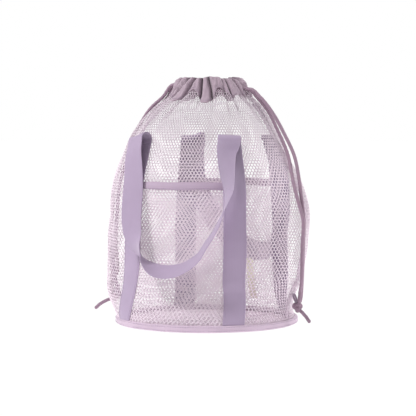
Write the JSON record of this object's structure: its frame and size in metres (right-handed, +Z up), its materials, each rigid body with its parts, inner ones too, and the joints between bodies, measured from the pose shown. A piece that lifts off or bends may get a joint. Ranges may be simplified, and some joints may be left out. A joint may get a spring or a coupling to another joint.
{
  "type": "mesh laundry bag",
  "caption": "Tall open-mesh laundry bag on a round fabric base, with a gathered drawcord neck, webbing handles and pockets on both faces.",
  "frame": {"origin": "centre of the fabric base's underside", "axes": "+Z up along the bag, -Y out of the front face, +X to the right side seam seen from the front"},
  "size_m": [0.3218, 0.2548, 0.336],
  "materials": {
    "net": "open hexagonal polyester net, pale lilac",
    "webbing": "woven polyester webbing, satin mauve",
    "casing": "plain-woven cloth, greyed mauve",
    "cord": "braided cord, dusty mauve",
    "base_cloth": "firm woven cloth, pale pinkish lilac",
    "tape": "ribbed binding tape, light mauve",
    "label": "blank cream satin label"
  },
  "bodies": {
    "bag": {"base_panel": "base_cloth", "base_binding": "tape", "body_front_mesh": "net", "body_back_mesh": "net", "side_seam_tape_right": "tape", "side_seam_tape_left": "tape", "care_label": "label", "casing_front": "casing", "casing_back": "casing", "drawcord_run_right": "cord", "drawcord_run_left": "cord", "drawcord_inner_strand_right": "cord", "drawcord_inner_strand_left": "cord", "cord_tab_right": "tape", "cord_tab_left": "tape", "cord_knot_right": "cord", "cord_knot_left": "cord", "front_strap_right": "webbing", "front_strap_left": "webbing", "back_strap_right": "webbing", "back_strap_left": "webbing", "front_pocket_mesh": "net", "back_pocket_mesh": "net", "front_pocket_binding": "tape", "back_pocket_binding": "tape"},
    "front_handle": {"front_handle_loop": "webbing"},
    "back_handle": {"back_handle_loop": "webbing"},
    "right_slack_cord": {"drawcord_outer_strand_right": "cord"},
    "left_slack_cord": {"drawcord_outer_strand_left": "cord"},
    "right_tail": {"cord_tail_right": "cord"},
    "left_tail": {"cord_tail_left": "cord"}
  },
  "joints": [
    {"name": "front_handle_hinge", "type": "hinge", "parent": "bag", "child": "front_handle", "pos_m": [0, -0.0845, 0.254], "axis": [-1, 0, 0], "range_deg": [0, 170]},
    {"name": "back_handle_hinge", "type": "hinge", "parent": "bag", "child": "back_handle", "pos_m": [0, 0.0875, 0.254], "axis": [1, 0, 0], "range_deg": [0, 170]},
    {"name": "right_cord_swing", "type": "hinge", "parent": "bag", "child": "right_slack_cord", "pos_m": [0.06173, 0.0032, 0.32], "axis": [-0.2385, 0.0017, 0.9711], "range_deg": [0, 18]},
    {"name": "left_cord_swing", "type": "hinge", "parent": "bag", "child": "left_slack_cord", "pos_m": [-0.04625, -0.0032, 0.3275], "axis": [0.3276, -0.0401, 0.944], "range_deg": [0, 11]},
    {"name": "right_tail_swing", "type": "hinge", "parent": "bag", "child": "right_tail", "pos_m": [0.13367, 0, 0.026], "axis": [0, -1, 0], "range_deg": [-8, 50]},
    {"name": "left_tail_swing", "type": "hinge", "parent": "bag", "child": "left_tail", "pos_m": [-0.14986, 0.012, 0.026], "axis": [-0.726, 0.6877, 0], "range_deg": [-8, 45]}
  ]
}
